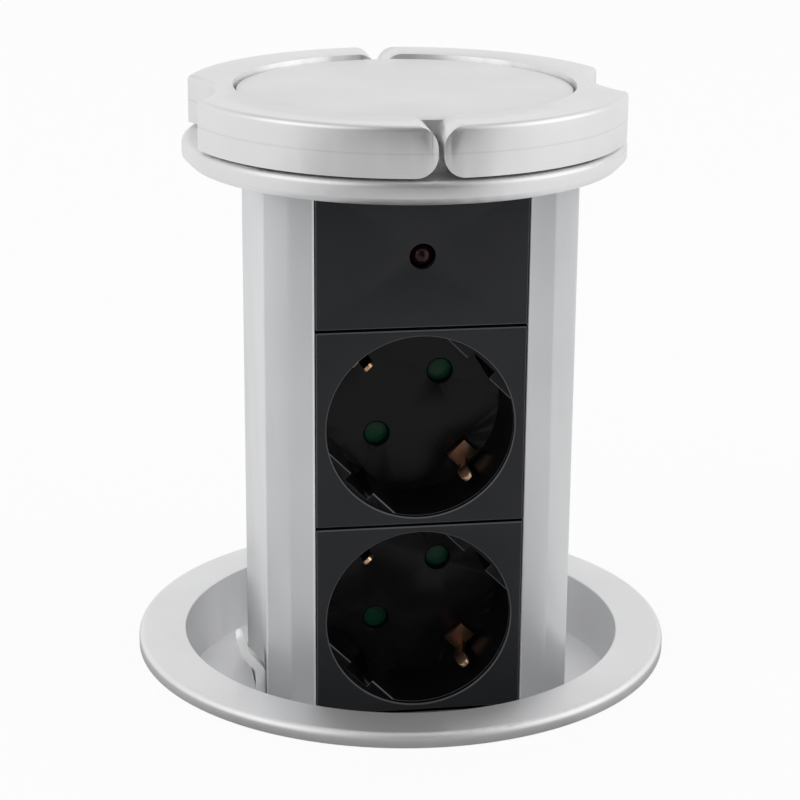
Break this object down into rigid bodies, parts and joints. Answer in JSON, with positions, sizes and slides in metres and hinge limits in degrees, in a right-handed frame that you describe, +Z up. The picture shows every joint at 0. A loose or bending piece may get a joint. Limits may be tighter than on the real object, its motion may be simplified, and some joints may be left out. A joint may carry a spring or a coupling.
{
  "type": "built-in power strip",
  "caption": "Pull-up mains socket tower for a worktop: round flush lid with grip ring, aluminium column with earthed sockets, indicator lamp, trim flange, barrel and clamp ring.",
  "frame": {"origin": "on the tower's axis, in the plane of the worktop's upper face, at the centre of the round cut-out", "axes": "+Z up along the tower, the sockets face -Y, +X to the right seen from the sockets' side"},
  "size_m": [0.1186, 0.1186, 0.1926],
  "materials": {
    "satin_aluminium": "satin anodised",
    "spring_steel": "satin",
    "steel": "zinc plated",
    "black_plastic": "fine satin",
    "grey_plastic": "moulded",
    "green_plastic": "moulded",
    "blue_plastic": "dipped",
    "red_lens": "tinted clear",
    "board": "laminate",
    "black_rubber": "moulded",
    "brass": "drawn",
    "copper": "rolled, copper coloured"
  },
  "bodies": {
    "housing": {"trim_flange": "satin_aluminium", "flange_gasket": "black_rubber", "barrel": "black_plastic", "barrel_screws": "steel", "guide_frame": "black_plastic", "guide_screws": "steel"},
    "tower": {"tower_profile": "satin_aluminium", "socket_lower": "black_plastic", "socket_upper": "black_plastic", "shutter_spring_lower": "steel", "shutter_spring_upper": "steel", "contact_base_lower": "grey_plastic", "contact_base_upper": "grey_plastic", "contact_base_screws": "steel", "pin_contacts_lower": "brass", "pin_contacts_upper": "brass", "earth_strap_lower": "copper", "earth_strap_upper": "copper", "indicator_panel": "black_plastic", "indicator_lamp": "red_lens", "lamp_leads": "steel", "indicator_board": "board", "board_screws": "steel", "varistors": "blue_plastic", "lower_blank": "black_plastic", "busbars": "copper", "busbar_carrier": "grey_plastic", "terminal_block": "grey_plastic", "terminal_screws": "steel", "tower_foot": "black_plastic", "gland_cup": "black_plastic", "cup_screws": "steel", "foot_screws": "steel", "gland_body": "grey_plastic", "gland_locknut": "grey_plastic", "gland_seal": "black_rubber", "gland_cap": "grey_plastic", "catch_pin": "steel", "lid_plate": "satin_aluminium", "lid_screws": "steel", "grip_ring": "satin_aluminium", "grip_screws": "steel", "centre_cap": "satin_aluminium"},
    "catch": {"thumb_catch": "spring_steel"},
    "upper_shutter": {"shutter_upper": "green_plastic"},
    "lower_shutter": {"shutter_lower": "green_plastic"},
    "clamp": {"clamp_ring": "black_plastic", "clamp_washer": "steel"}
  },
  "joints": [
    {"name": "tower_slide", "type": "slide", "parent": "housing", "child": "tower", "axis": [0, 0, 1], "range_m": [-0.1186, 0]},
    {"name": "catch_press", "type": "hinge", "parent": "tower", "child": "catch", "pos_m": [-0.0308, -0.0194, -0.019], "axis": [0, 1, 0], "range_deg": [0, 5], "stiffness_Nm_per_rad": 0.02, "springref_deg": -1.15},
    {"name": "upper_shutter_turn", "type": "hinge", "parent": "tower", "child": "upper_shutter", "pos_m": [0, -0.006, 0.0561], "axis": [0, -1, 0], "range_deg": [0, 40], "stiffness_Nm_per_rad": 0.002, "springref_deg": -5.73},
    {"name": "lower_shutter_turn", "type": "hinge", "parent": "tower", "child": "lower_shutter", "pos_m": [0, -0.006, 0.0139], "axis": [0, -1, 0], "range_deg": [0, 40], "stiffness_Nm_per_rad": 0.002, "springref_deg": -5.73},
    {"name": "clamp_travel", "type": "slide", "parent": "housing", "child": "clamp", "axis": [0, 0, 1], "range_m": [-0.022, 0.018]}
  ]
}
